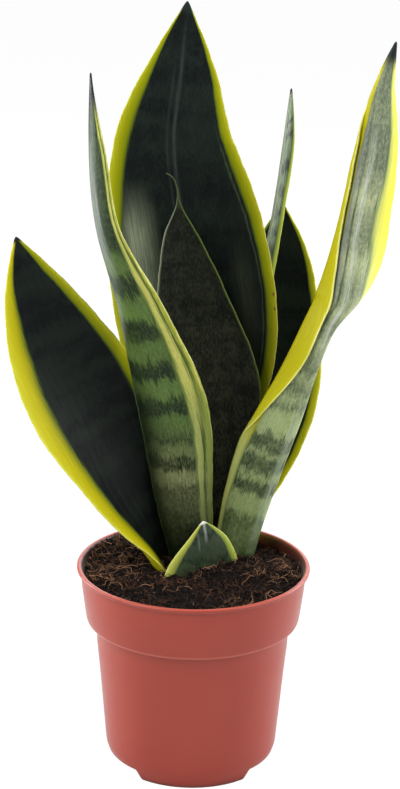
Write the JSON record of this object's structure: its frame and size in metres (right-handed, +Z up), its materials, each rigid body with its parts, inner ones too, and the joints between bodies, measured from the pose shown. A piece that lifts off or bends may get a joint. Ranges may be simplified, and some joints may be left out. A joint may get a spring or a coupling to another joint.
{
  "type": "potted snake plant",
  "caption": "Live variegated snake plant with upright sword-shaped leaves growing from soil in a round plastic nursery pot, for standing on a floor, shelf or table.",
  "frame": {"origin": "middle of the bounding box's bottom face, at the foot of the pot", "axes": "+Z up along the leaves, -Y towards the viewer of the front, +X to the right as seen from the front"},
  "size_m": [0.1916, 0.1446, 0.3861],
  "materials": {
    "pot": "satin terracotta coloured plastic",
    "soil": "loose moist fibrous potting soil",
    "rhizome": "smooth fleshy stem with thin roots",
    "leaf_front_small": "waxy grey green leaf with yellow margins",
    "leaf_left": "waxy dark green leaf with yellow margins",
    "leaf_centre": "waxy banded green leaf with yellow margins",
    "leaf_tall": "waxy dark green leaf with yellow margins",
    "leaf_inner": "waxy dark green leaf with pale edges",
    "leaf_right": "waxy banded grey green leaf with yellow folded margin",
    "leaf_narrow": "waxy mid green leaf with pale margins",
    "leaf_back_right": "waxy dark green leaf with yellow margins"
  },
  "bodies": {
    "root": {"pot": "pot", "soil": "soil", "rhizome": "rhizome", "leaf_front_small": "leaf_front_small", "leaf_left": "leaf_left", "leaf_centre": "leaf_centre", "leaf_tall": "leaf_tall", "leaf_inner": "leaf_inner", "leaf_right": "leaf_right", "leaf_narrow": "leaf_narrow", "leaf_back_right": "leaf_back_right"}
  },
  "joints": []
}
